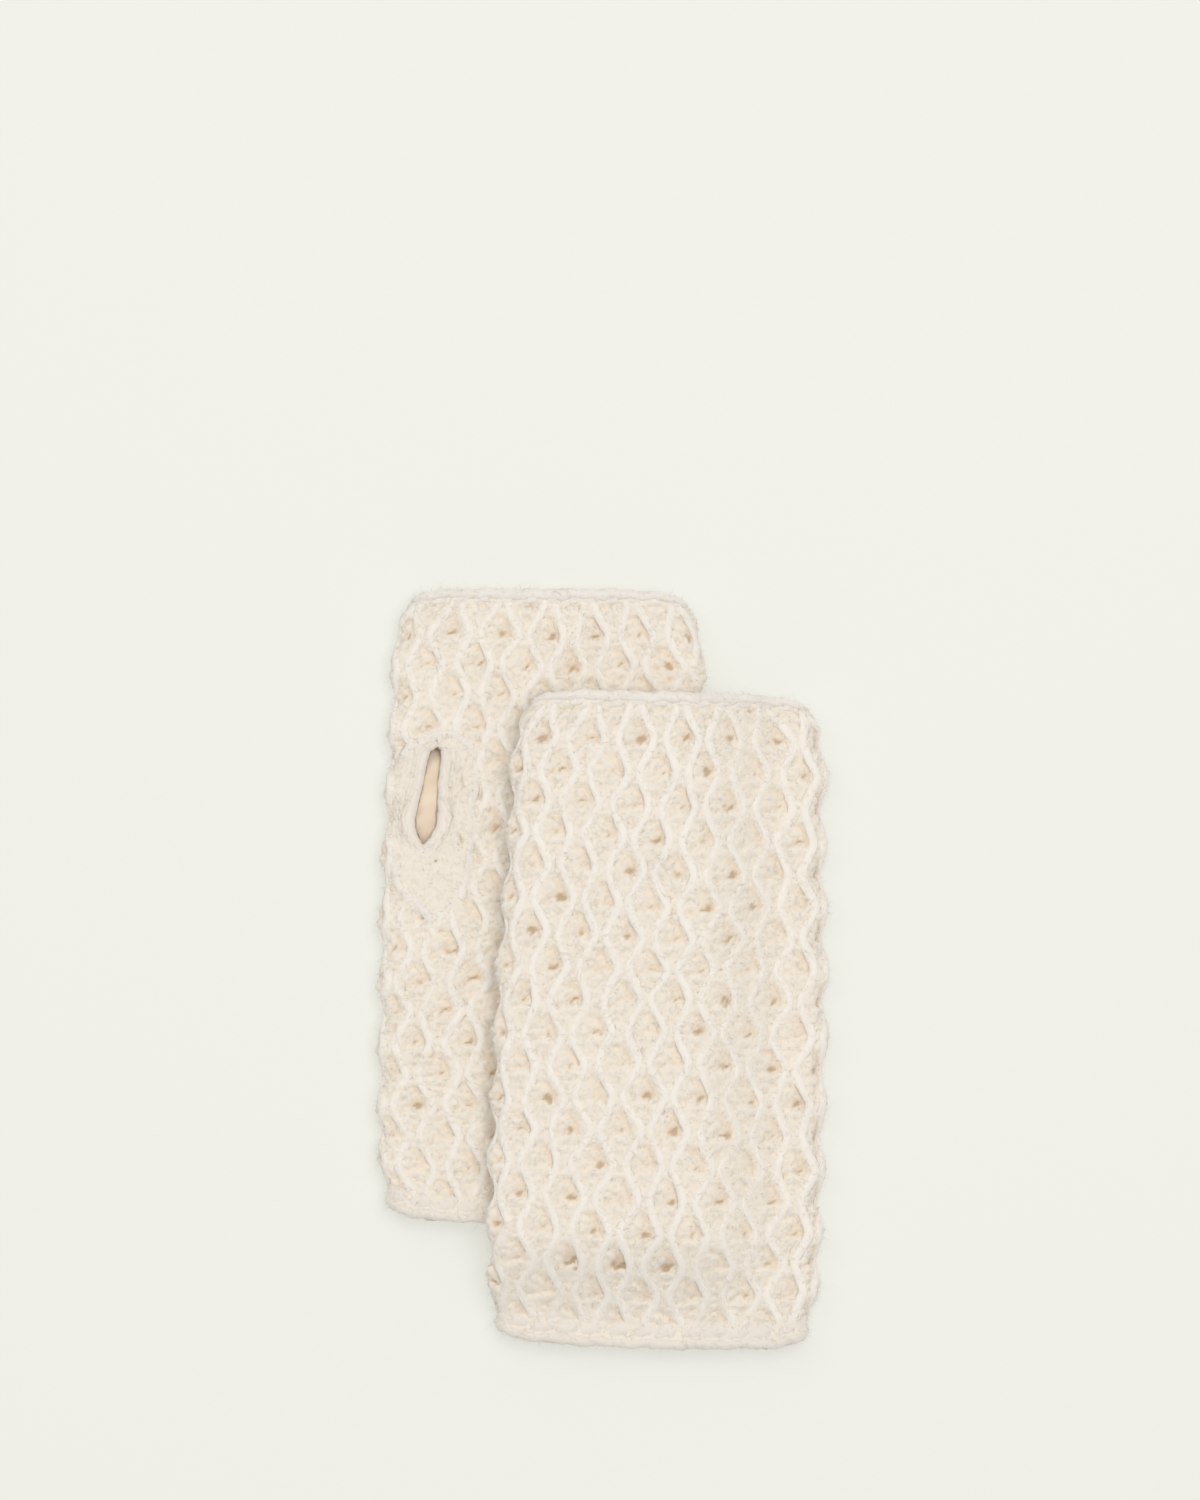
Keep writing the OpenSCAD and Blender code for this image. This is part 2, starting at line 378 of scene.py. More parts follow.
class Glove:
    """One laid glove: its place and outline from the CAD nodes, and its stitch grid."""

    def __init__(self, name, seed, phase, slit_below):
        self.name = name
        self.phase = phase
        self.slit_below = slit_below
        self.drapes = name == "front"
        wrist = np.mean(box_mm(name + "_wrist_edge"), axis=0)[:2]
        finger = np.mean(box_mm(name + "_finger_edge"), axis=0)[:2]
        self.along = unit(finger - wrist)
        self.across = np.array([self.along[1], -self.along[0]])
        tube = ["wrist_edge", "thumb_fold", "outer_fold", "finger_edge"]
        points = np.concatenate([self.node_points(part) for part in tube])[:, :2] - wrist
        v = points @ self.along
        self.origin = wrist + self.along * v.min()
        self.length = v.max() - v.min()
        self.outline(v - v.min(), np.abs(points @ self.across))
        self.pitch = (self.length - HEM_ROW - LAST_ROW) / (ROWS - 1)
        slit = np.mean(box_mm(name + "_thumb_slit_edging"), axis=0)[:2] - self.origin
        self.slit_u = slit @ self.across
        self.slit_v = slit @ self.along
        self.sway_c = waves(seed, *SWAY_WAVES)
        self.sway_v = waves(seed + 1, *SWAY_WAVES)
        self.lumps = waves(seed + 3, *LUMP_WAVES)
        self.luck = np.random.default_rng(seed + 2).normal(0, 1, (2 * CELLS, ROWS + 8, 2 + len(CELL_PUFFS)))

    def node_points(self, part):
        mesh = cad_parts[f"{self.name}_{part}"].data
        co = np.empty(len(mesh.vertices) * 3)
        mesh.vertices.foreach_get("co", co)
        return co.reshape(-1, 3) * METRES_TO_MM

    def outline(self, v, u):
        """The half width at each of the CAD's own stations along the glove."""
        stations = np.unique(np.round(v, 0))
        half = [u[np.abs(v - s) < STATION_REACH].max() for s in stations]
        self.outline_v = stations
        self.outline_half = np.array(half)

    def flat_half(self, v):
        """Half the width of the flat part of a face."""
        return np.interp(v, self.outline_v, self.outline_half) - FOLD_R

    def round_len(self, v):
        return 4 * self.flat_half(v) + 2 * math.pi * COUNT_R

    def slit_q(self, v):
        """The slit's place on the way round the tube, from the middle of the upper face."""
        q = self.slit_u
        if self.slit_below:
            q = -(2 * self.flat_half(v) + math.pi * COUNT_R + self.slit_u)
        return q + SLIT_LEAN * np.clip(v - self.slit_v, -SLIT_LENGTH, SLIT_LENGTH)

    def slit_c(self, v):
        return self.slit_q(v) / self.round_len(v) * CELLS - self.phase

    def under_slit(self, c, v):
        """1 on the layer that shows through the slit, fading to 0 round it."""
        whole = self.round_len(v)
        facing = -self.slit_q(v) - 2 * self.flat_half(v) - math.pi * COUNT_R
        across = np.mod(self.way_round(c, v) - facing + whole / 2, whole) - whole / 2
        return np.exp(-((across / UNDER_REACH) ** 2) - np.abs((v - self.slit_v) / (SLIT_LENGTH / 2)) ** 4)

    def way_round(self, c, v):
        """Distance round the tube from the middle of the upper face, between minus and plus a half turn."""
        whole = self.round_len(v)
        q = (c + self.phase) * whole / CELLS
        return np.mod(q + whole / 2, whole) - whole / 2

    def part_slit(self, q, v, r):
        """Pushes the stitches away from the slit's middle line, so that the fabric opens there."""
        reach = (v - self.slit_v) / (SLIT_LENGTH / 2)
        opening = np.interp(reach, *np.transpose(SLIT_PROFILE)) * (1.0 + SLIT_FUNNEL * r)
        away = q - self.slit_q(v)
        return q + np.sign(away + 1e-9) * opening * np.exp(-np.abs(away) / SLIT_REACH)

    def fold_swell(self, side, v):
        """The cells that lie across a fold stand out, and the knots between them draw in."""
        fold_c = side * CELLS / 4 - self.phase
        rows = (v - HEM_ROW) / self.pitch
        ends = ease(v / SWELL_FROM_WRIST) * ease((self.length - v) / SWELL_FROM_FINGERS)
        wave = np.cos(math.pi * (rows - np.round(2 * fold_c)))
        return FOLD_SWELL * ends * (SWELL_MEAN + (1 - SWELL_MEAN) * wave)

    def place(self, c, v, r):
        """Points of the laid glove, in mm, for knitting coordinates."""
        c, v, r = np.broadcast_arrays(np.asarray(c, float), np.asarray(v, float), np.asarray(r, float))
        flat = self.flat_half(v)
        drift = SWAY * ease(v / SWAY_FADE) * ease((self.length - v) / SWAY_FADE)
        v_moved = v + drift * field(self.sway_v, c, v)
        q = self.part_slit(self.way_round(c, v), v, r) + SWAY * field(self.sway_c, c, v)
        s = np.abs(q)
        turn = np.clip((s - flat) / COUNT_R, 0.0, math.pi)
        under = np.clip(s - flat - math.pi * COUNT_R, 0.0, None)
        reach = MID_R + r + np.sin(turn) ** 2 * self.fold_swell(np.sign(q), v)
        u = np.sign(q + 1e-9) * (np.minimum(s, flat) - under + reach * np.sin(turn))
        z = FOLD_R + reach * np.cos(turn)
        side = np.minimum(np.abs(u) / (flat + FOLD_R), 1.0)
        to_end = self.length - v
        u = u * (1 - WRIST_DRAW * (1 - ease(v / DRAW_RUN)) - FINGER_DRAW * (1 - ease(to_end / DRAW_RUN)))
        bow = SLOW_BOW * side**2 + (1 - SLOW_BOW) * side**9
        v_moved = v_moved + WRIST_BOW * bow * (1 - ease(v / WRIST_BOW_RUN))
        v_moved = v_moved - FINGER_BOW * side**6 * ease(1 - to_end / FINGER_BOW_RUN)
        x = self.origin[0] + self.across[0] * u + self.along[0] * v_moved
        y = self.origin[1] + self.across[1] * u + self.along[1] * v_moved
        if self.drapes:
            z = z + drape(x, y)
        return np.stack([x, y, z], axis=-1)


def drape(x, y):
    """Height of the front glove's underside: on the rear glove, then down to the table."""
    return LIFT * (1 - ease((x - FALL_X) / FALL_RUN)) * (1 - ease((FALL_Y - y) / FALL_RUN))


# ---------------------------------------------------------------- the fabric's relief


def strand_wave(rows):
    """A strand's swing at a height in rows: a zigzag with rounded corners."""
    return np.cos(math.pi * rows) + np.cos(3 * math.pi * rows) / 16.0


def nearest_cell(glove, c, v):
    """For each point its cell's column and row, and its place right of and above the cell's middle in mm."""
    rows = (v - HEM_ROW) / glove.pitch
    low = np.floor(rows)
    found = []
    for k in (low, low + 1):
        odd = np.mod(k, 2)
        j = odd + 2 * np.round((2 * c - odd) / 2)
        found.append((np.abs(2 * c - j) + np.abs(rows - k), j, k))
    upper = found[1][0] < found[0][0]
    j = np.where(upper, found[1][1], found[0][1])
    k = np.where(upper, found[1][2], found[0][2])
    return np.mod(j, 2 * CELLS).astype(int), k.astype(int), (c - j / 2) * CELL_W, (rows - k) * glove.pitch


def cell_relief(glove, c, v):
    """Height of the honeycomb ground in mm, and how far each point lies in an opening, from 0 to 1."""
    j, k, right, up = nearest_cell(glove, c, v)
    luck = glove.luck[j, k + 4]
    strand_at = (0.25 + SWING * strand_wave(up / glove.pitch)) * CELL_W
    total = ridge(np.abs(right) - strand_at) ** PUFF_BLEND
    for i, (x, y, wide, tall, arch, slope, rise) in enumerate(CELL_PUFFS):
        across = right - x - PUFF_SHIFT * luck[..., i]
        beside = up - y - slope * across + arch * (across / wide) ** 2
        away = (across / wide) ** 2 + (beside / tall) ** 2
        total = total + (rise * np.exp(-away**1.5)) ** PUFF_BLEND
    right = right - PUFF_SHIFT * luck[..., -1]
    reach = (glove.way_round(c, v) - STRETCHED_MIDDLE) / STRETCHED_REACH
    stretch = glove.drapes * (k == STRETCHED_ROW) * np.exp(-(reach**4))
    size = np.clip(HOLE_USUAL + HOLE_SPREAD * luck[..., -2], HOLE_LEAST, HOLE_MOST)
    size = size * (1 + STRETCHED_GROWTH * stretch)
    lumps = field(glove.lumps, c, v)
    ragged = HOLE_RAGGED * lumps
    hole = openings(CELL_HOLES, right / size + ragged, up / size - ragged)
    hole = hole * (np.clip(size, 0, 1) + STRETCHED_DARKNESS * stretch)
    hole = np.maximum(hole, hook(strand_at - YARN_W / 2 - right, up + 2 * ragged))
    return HOLLOW_R + total ** (1 / PUFF_BLEND), hole


def ridge(distance):
    """The flat-topped swell of the fabric under a strand."""
    return RIDGE_RISE * np.exp(-((distance / RIDGE_HALF) ** 4))


def hook(beside, up):
    """The hollow that leans on a cell's right strand, above the opening: a shallow dip with painted shade."""
    low, high, spread, strength = HOOK
    at_low, at_high, under = HOOK_FADE
    within = ease((up - low) / at_low) * ease((high - up) / at_high) * ease(beside + under)
    return strength * within * np.exp(-((beside / spread) ** 2))


def openings(holes, right, up):
    """How far each point lies in one of the openings, from 0 to 1; this sets their dip and their painted
    shade. The holes are rows of the tables above.
    """
    hole = np.zeros(right.shape)
    for x, y, long, tall, slope, strength in holes:
        across = right - x
        beside = up - y - slope * across
        hole = np.maximum(hole, strength * np.exp(-((across / long) ** 2) - (beside / tall) ** 2))
    return hole


def plain_relief(across, up):
    """Height of plain knitting: columns of V stitches."""
    lane = 2 * np.mod(across / PLAIN_W, 1.0) - 1
    legs = 1 - (2 * np.abs(lane) - 1) ** 2
    steps = 0.5 + 0.5 * np.cos(TURN * (up / PLAIN_H - PLAIN_SLANT * np.abs(lane)))
    return PLAIN_RISE * legs * (0.5 + 0.5 * steps)


def slit_place(glove, c, v):
    """Distance right of and above the thumb slit's middle, in mm, before the slit is opened."""
    whole = glove.round_len(v)
    across = glove.way_round(c, v) - glove.slit_q(v)
    return np.mod(across + whole / 2, whole) - whole / 2, v - glove.slit_v


def frame_ridge(across, along):
    """The swell of the fabric under the strands that frame the plain ground."""
    near = np.full(across.shape, np.inf)
    close = plain_share(across, along, FRAME_MARGIN) > 0
    for points in SLIT_FRAMES:
        path = rounded_path(points)
        away = np.hypot(across[close][:, None] - path[:, 0], along[close][:, None] - path[:, 1])
        near[close] = np.minimum(near[close], away.min(axis=1))
    return ridge(np.minimum(near, FRAME_REACH))


def plain_share(across, along, margin=0.0):
    """1 in the plain knitting round the thumb slit, and 0 in the honeycomb."""
    aside = np.abs((across - PLAIN_RIGHT) / PLAIN_ACROSS)
    beyond = np.abs((along + PLAIN_DOWN) / PLAIN_ALONG)
    return ease((PLAIN_END + margin - aside**PLAIN_SQUARE - beyond**PLAIN_SQUARE) / PLAIN_BLEND)


def fabric_relief(glove, c, v):
    """Height of the fabric's outer side in mm, and how far each point lies in an opening."""
    height, hole = cell_relief(glove, c, v)
    across, along = slit_place(glove, c, v)
    share = plain_share(across, along)
    lip_half = SLIT_LENGTH / 2 + LIP_PAST_ENDS
    lip = LIP_RISE * np.exp(-np.abs(across / LIP_REACH) ** 3 - np.abs(along / lip_half) ** 6)
    plain = PLAIN_R + plain_relief(across, v) + lip
    lumps = field(glove.lumps, c, v)
    height = height + share * (plain - height) + LUMP_RISE * (np.abs(lumps) - LUMP_MIDDLE)
    height = np.maximum(height, HOLLOW_R + frame_ridge(across, along))
    hole = hole * (1 - share) + share * openings(SLIT_HOLES, across, along)
    # Painted shade in the creases between the wool's lumps
    hole = np.maximum(hole, CREASE_PAINTED_SHADE * (1 - CREASE_LOSS * share) * np.exp(-((lumps / CREASE_HALF) ** 2)))
    wrist_edge = 1 - ease((v - WRIST_REACH + WRIST_BLEND) / WRIST_BLEND)
    finger_edge = ease((v - glove.length + FINGER_REACH + FINGER_BLEND / 2) / FINGER_BLEND)
    edge = np.maximum(wrist_edge, finger_edge)
    height = height + edge * (EDGE_R - height)
    hole = hole * (1 - edge)
    return height - HOLE_DEPTH * np.maximum(hole - HOLE_START, 0.0), hole


# ---------------------------------------------------------------- meshes


class MeshParts:
    """Collects the points and faces of one piece, and makes one mesh of them."""

    def __init__(self):
        self.points = []
        self.outward = []
        self.uvs = []
        self.recess = []
        self.hole = []
        self.faces = []
        self.count = 0

    def add_points(self, points, outward, uv, recess, hole):
        """Adds points in mm, and returns their numbers in the shape given."""
        shape = points.shape[:-1]
        self.points.append(points.reshape(-1, 3))
        self.outward.append(outward.reshape(-1, 3))
        self.uvs.append(np.broadcast_to(uv, (*shape, 2)).reshape(-1, 2))
        self.recess.append(np.broadcast_to(recess, shape).reshape(-1))
        self.hole.append(np.broadcast_to(hole, shape).reshape(-1))
        index = self.count + np.arange(math.prod(shape)).reshape(shape)
        self.count += index.size
        return index

    def add_faces(self, *corners):
        """One face for each place of the corner arrays."""
        stacked = np.stack(np.broadcast_arrays(*corners), axis=-1)
        self.faces.append(stacked.reshape(-1, len(corners)))

    def add_tubes(self, points, outward, uv, recess, closed):
        """points: (yarns, rings, sides, 3). Each ring is joined to the next, and open ends are capped."""
        index = self.add_points(points, outward, uv, recess, 0.0)
        ahead = np.roll(index, -1, axis=2)
        if closed:
            self.add_faces(index, ahead, np.roll(ahead, -1, axis=1), np.roll(index, -1, axis=1))
        else:
            self.add_faces(index[:, :-1], ahead[:, :-1], ahead[:, 1:], index[:, 1:])
            self.faces.append(index[:, 0, ::-1])
            self.faces.append(index[:, -1, :])

    def build(self, name, material):
        corners = np.concatenate([f.reshape(-1) for f in self.faces])
        sizes = np.concatenate([np.full(len(f), f.shape[1]) for f in self.faces])
        used, corners = np.unique(corners, return_inverse=True)
        mesh = bpy.data.meshes.new(name)
        mesh.vertices.add(len(used))
        mesh.vertices.foreach_set("co", (np.concatenate(self.points)[used] * MM).reshape(-1))
        mesh.loops.add(len(corners))
        mesh.loops.foreach_set("vertex_index", corners)
        mesh.polygons.add(len(sizes))
        mesh.polygons.foreach_set("loop_start", np.concatenate([[0], np.cumsum(sizes)[:-1]]))
        mesh.polygons.foreach_set("loop_total", sizes)
        mesh.polygons.foreach_set("use_smooth", np.ones(len(sizes), bool))
        mesh.update(calc_edges=True)
        uv_layer = mesh.uv_layers.new(name="yarn")
        uv_layer.data.foreach_set("uv", np.concatenate(self.uvs)[used][corners].reshape(-1))
        # recess and hole are the masks of the painted shade in the recesses and in the openings
        for title, values in (("recess", self.recess), ("hole", self.hole)):
            attribute = mesh.attributes.new(title, "FLOAT", "POINT")
            attribute.data.foreach_set("value", np.concatenate(values)[used])
        mesh.validate()
        piece = bpy.data.objects.new(name, mesh)
        bpy.context.scene.collection.objects.link(piece)
        mesh.materials.append(material)
        return piece


def recess_of(height):
    """0 at the strands' tops and 1 at the bottom of the hollows: the mask of the painted shade in the
    recesses.
    """
    return np.clip((RECESS_TOP - height) / RECESS_DEPTH, 0.0, 1.0)


def travel_of(path):
    """Distance along each path, in mm, at each of its points."""
    return np.cumsum(np.linalg.norm(np.diff(path, axis=1, prepend=path[:, :1]), axis=-1), axis=1)


def step_along(values, closed):
    """From the point before to the point after, at each point of the paths."""
    if closed:
        return np.roll(values, -1, axis=1) - np.roll(values, 1, axis=1)
    padded = np.concatenate([values[:, :1], values, values[:, -1:]], axis=1)
    return padded[:, 2:] - padded[:, :-2]


def sweep(parts, glove, c, v, r, width, height, sides=8, closed=False):
    """Adds yarns along paths in knitting coordinates, each array (yarns, points)."""
    c, v, r = np.broadcast_arrays(c, v, r)
    cell = glove.round_len(v) / CELLS
    along_c = np.mod(step_along(c, closed) + CELLS / 2, CELLS) - CELLS / 2
    run, rise = along_c * cell, step_along(v, closed)
    step = SIDE_STEP / np.maximum(np.hypot(run, rise), 1e-6)
    middle = glove.place(c, v, r)
    side = unit(glove.place(c + step * rise / cell, v - step * run, r) - middle)
    up = unit(glove.place(c, v, r + OUT_STEP) - middle)
    n, m = c.shape
    travel = travel_of(middle)
    thick = 1.0 + THICKENING * np.sin(travel / THICKENING_RUN + rng.uniform(0, TURN, (n, 1)))
    if not closed:
        ends = np.minimum(np.arange(m), np.arange(m)[::-1])
        thick = thick * np.minimum(1.0, END_THICKNESS + END_GROWTH * ends)
    angle = np.arange(sides) / sides * TURN
    ring_side = np.cos(angle)[:, None] * side[:, :, None, :] * (width / 2)
    ring_up = np.sin(angle)[:, None] * up[:, :, None, :] * (height / 2)
    rough = 1.0 + rng.normal(0, ROUGHNESS, (n, m, sides, 1))
    spokes = (ring_side + ring_up) * thick[:, :, None, None] * rough
    uv = np.empty((n, m, sides, 2))
    uv[..., 0] = angle / TURN
    uv[..., 1] = (travel + rng.uniform(0, STREAK_SHIFT, (n, 1)))[:, :, None]
    # Painted shade: a yarn's lower side, and yarns that lie low, get more of the shade colour
    recess = recess_of(r[:, :, None] + np.sin(angle) * height / 2)
    parts.add_tubes(middle[:, :, None, :] + spokes, unit(spokes), uv, recess, closed)


# ---------------------------------------------------------------- pieces of a glove


def runs(keep):
    """Index arrays of the unbroken stretches where keep is true."""
    edges = np.flatnonzero(np.diff(np.concatenate([[0], keep.astype(int), [0]])))
    return [np.arange(a, b) for a, b in zip(edges[::2], edges[1::2])]


def honeycomb_strands(glove):
    """The raised strands that swing from side to side and frame each cell."""
    parts = MeshParts()
    v = np.arange(STRAND_START, glove.length - STRAND_STOP, STRAND_STEP)
    rows = (v - HEM_ROW) / glove.pitch
    knots = np.arange(-2, ROWS + 3)
    eased_rows = np.floor(rows) + ease(rows - np.floor(rows))
    for i in range(2 * CELLS):
        sign = 1.0 if i % 2 == 0 else -1.0
        drift = STRAND_DRIFT * np.interp(eased_rows, knots, rng.normal(0, 1, len(knots)))
        swing = SWING * (1 + SWING_SPREAD * np.interp(eased_rows, knots, rng.normal(0, 1, len(knots))))
        c = (i + 0.5) / 2 + swing * sign * strand_wave(rows) + drift
        share = plain_share(*slit_place(glove, c, v))
        r = STRAND_R + STRAND_RISE * np.abs(np.cos(math.pi * rows)) + STRAND_R_SPREAD * rng.normal(0, 1)
        r = r - STRAND_SINK * share - STRAND_HEM_SINK * (1 - ease((v - HEM_TOP) / HEM_TOP))
        for run in runs(share < STRAND_HIDDEN):
            if len(run) > FEWEST_POINTS:
                width = YARN_W * rng.uniform(*YARN_SPREAD)
                sweep(parts, glove, c[None, run], v[None, run], r[None, run], width, YARN_H)
    return parts


def fabric(glove):
    """The knitted sheet: a shell with a fine outer side and a coarse inner side, parted at the thumb slit."""
    parts = MeshParts()
    columns = int(COARSE_PER_CELL * CELLS)
    coarse_v = np.linspace(END_GAP, glove.length - END_GAP, COARSE_ROWS + 1)
    parted = np.abs(coarse_v - glove.slit_v) < SLIT_LENGTH / 2
    first, last = np.flatnonzero(parted)[[0, -1]]
    row = np.arange(COARSE_ROWS * FINE + 1)
    v = np.linspace(END_GAP, glove.length - END_GAP, len(row))[:, None]
    open_row = (row > (first - 1) * FINE) & (row < (last + 1) * FINE)
    share = np.linspace(0, 1, columns * FINE + 1)[None, :]
    nudge = 1e-4 * (1 - 2 * share) * open_row[:, None]
    c = glove.slit_c(v) + share * CELLS + nudge
    v = np.broadcast_to(v, c.shape)
    height, hole = fabric_relief(glove, c, v)
    outer = glove.place(c, v, height)
    ribs = RIB_RISE * np.sin(TURN * v / RIB_PITCH) * np.cos(TURN * RIBS_PER_CELL * c)
    inner = glove.place(c, v, INNER_R + ribs - UNDER_SWELL * glove.under_slit(c, v))
    upward = unit(glove.place(c, v, height + OUT_STEP) - outer)
    across_uv = np.abs(share - 0.5) * CELLS * STREAKS_PER_CELL
    uv = np.stack([np.broadcast_to(across_uv, c.shape), v], axis=-1)
    top = parts.add_points(outer, upward, uv, recess_of(height), hole)
    # Painted shade: the inner side takes the full recess shade and part of an opening's, with a random spread
    tone = INNER_PAINTED_SHADE + TONE_SPREAD * field(glove.lumps, c, v)
    low = parts.add_points(inner, -upward, uv, 1.0, tone)
    top[~open_row, -1] = top[~open_row, 0]
    low[~open_row, -1] = low[~open_row, 0]
    low = low[::FINE, ::FINE]
    parts.add_faces(top[:-1, :-1], top[:-1, 1:], top[1:, 1:], top[1:, :-1])
    parts.add_faces(low[1:, :-1], low[1:, 1:], low[:-1, 1:], low[:-1, :-1])
    add_wall(parts, top[0, ::-1], low[0, ::-1])
    add_wall(parts, top[-1], low[-1])
    lips = slice((first - 1) * FINE, (last + 1) * FINE + 1)
    lips_low = slice(first - 1, last + 2)
    add_wall(parts, top[lips, 0], low[lips_low, 0])
    add_wall(parts, top[lips, -1][::-1], low[lips_low, -1][::-1])
    return parts


def add_wall(parts, top, low):
    """Closes a shell's edge: each face takes FINE steps of the outer side and one of the inner side."""
    steps = [top[k:len(top) - FINE + k:FINE] for k in range(FINE)]
    parts.add_faces(*steps, top[FINE::FINE], low[1:], low[:-1])


def edge_cord(parts, glove, v, r, width, height):
    """The edge chain all the way round: two stitches to a cell, with a slow wave in it."""
    c = np.linspace(0, CELLS, CELLS * CORD_POINTS_PER_CELL, endpoint=False)[None, :]
    wave = CORD_WAVE * (np.sin(TURN * c) + np.sin(TURN * c * 3 / CELLS) + np.sin(TURN * 2 * c))
    rise = CORD_RISE * np.abs(np.sin(TURN * c))
    sweep(parts, glove, c, v + wave, r + rise, width, height, sides=12, closed=True)


def slanted_stitches(parts, glove, v, r, span, rise, width, height):
    """Short fat stitches round the glove, two to a cell, each lying over the next."""
    count = 2 * CELLS
    t = np.linspace(-1, 1, STITCH_POINTS)[None, :]
    c = (np.arange(count) / count * CELLS + rng.normal(0, STITCH_SHIFT_C, count))[:, None] + span / 2 * t
    v = v + rise / 2 * t + rng.normal(0, STITCH_SHIFT_V, (count, 1))
    r = r + STITCH_TILT * t - STITCH_SINK * t**4
    sweep(parts, glove, c, v, r, width, height, sides=10)


def finger_bind_off(glove):
    """The smooth chain that closes the finger end."""
    parts = MeshParts()
    inset, *cord = FINGER_CORD
    edge_cord(parts, glove, glove.length - inset, *cord)
    inset, *stitch = FINGER_STITCH
    slanted_stitches(parts, glove, glove.length - inset, *stitch)
    return parts


def wrist_hem(glove):
    """The thick cast-on hem: an edge cord with puffed stitches above it."""
    parts = MeshParts()
    edge_cord(parts, glove, *WRIST_CORD)
    slanted_stitches(parts, glove, *WRIST_STITCH)
    return parts


def slit_c_at(glove, across, v):
    return glove.slit_c(v) + across / glove.round_len(v) * CELLS


def thumb_slit_lips(glove):
    """The edging yarn round the slit, and the strands that frame the plain ground."""
    parts = MeshParts()
    aside, r, width, height = LIP_CORD
    a = np.linspace(0, TURN, LIP_CORD_POINTS, endpoint=False)[None, :]
    v = glove.slit_v + (SLIT_LENGTH / 2 + LIP_PAST_ENDS) * np.sin(a)
    bumps = LIP_BUMP_RISE * np.sin(a * LIP_BUMPS) * np.clip(np.cos(a), 0, 1)
    sweep(parts, glove, slit_c_at(glove, aside * np.cos(a), v), v, r + bumps, width, height, closed=True)
    for points in SLIT_FRAMES:
        across, along = rounded_path(points).T
        v = glove.slit_v + along
        sweep(parts, glove, slit_c_at(glove, across, v)[None], v[None], STRAND_R, YARN_W, YARN_H)
    return parts


def wool_fuzz(sources):
    """Loose fibres that stand off the wool: thin three-sided prisms that curl to a point."""
    points = np.concatenate([np.concatenate(parts.points) for parts in sources])
    outward = np.concatenate([np.concatenate(parts.outward) for parts in sources])
    recess = np.concatenate([np.concatenate(parts.recess) for parts in sources])
    seen = np.flatnonzero(recess < FUZZ_DEPTH)
    root = seen[rng.integers(0, len(seen), FUZZ_FIBRES)]
    start = points[root]
    away = unit(outward[root] * FUZZ_LIFT + rng.normal(0, 1, (FUZZ_FIBRES, 3)))
    curl = rng.normal(0, FUZZ_CURL, (FUZZ_FIBRES, 3))
    length = rng.gamma(FUZZ_ALIKE, FUZZ_LENGTH / FUZZ_ALIKE, FUZZ_FIBRES)
    length = np.minimum(length, FUZZ_LONGEST)[:, None]
    share = np.linspace(0, 1, FUZZ_RINGS)
    path = np.stack([start + length * np.clip(away * t + curl * t * t * 0.5, -1, 1) for t in share], axis=1)
    path[:, :, 2] = np.maximum(path[:, :, 2], FUZZ_WIDTH)
    tangent = unit(np.gradient(path, axis=1))
    side = unit(np.cross(tangent, unit(rng.normal(0, 1, (FUZZ_FIBRES, 1, 3)))))
    up = np.cross(side, tangent)
    angle = np.arange(3)[:, None] / 3 * TURN
    width = FUZZ_WIDTH / 2 * (1.0 - FUZZ_TAPER * share)[None, :, None, None]
    spokes = width * (np.cos(angle) * side[:, :, None] + np.sin(angle) * up[:, :, None])
    parts = MeshParts()
    parts.add_tubes(path[:, :, None] + spokes, spokes, 0.0, 0.0, False)
    return parts


# ---------------------------------------------------------------- materials


def node(tree, kind, **inputs):
    made = tree.nodes.new(kind)
    for key, value in inputs.items():
        made.inputs[key.replace("_", " ")].default_value = value
    return made


def attribute_range(tree, title, low, high):
    """A vertex attribute, eased from 0 at low to 1 at high."""
    value = tree.nodes.new("ShaderNodeAttribute")
    value.attribute_name = title
    ranged = node(tree, "ShaderNodeMapRange", From_Min=low, From_Max=high)
    ranged.interpolation_type = "SMOOTHSTEP"
    tree.links.new(value.outputs["Fac"], ranged.inputs["Value"])
    return ranged.outputs["Result"]


def mix_colour(tree, mode, factor, first, second):
    """Mixes two colours or sockets. The factor may be a number or a socket."""
    mix = tree.nodes.new("ShaderNodeMix")
    mix.data_type = "RGBA"
    mix.blend_type = mode
    for name, value in (("Factor", factor), ("A", first), ("B", second)):
        if isinstance(value, bpy.types.NodeSocket):
            tree.links.new(value, mix.inputs[name])
        elif name == "Factor":
            mix.inputs[name].default_value = value
        else:
            mix.inputs[name].default_value = (*value, 1.0)
    return mix.outputs["Result"]


# The painted shade deep in an opening
HOLE_PAINTED_SHADE = (0.62, 0.46, 0.30)
# How deep the streaks of the wool and of its fibres are, in mm
STREAK_DEPTH = 0.3
FIBRE_DEPTH = 0.05


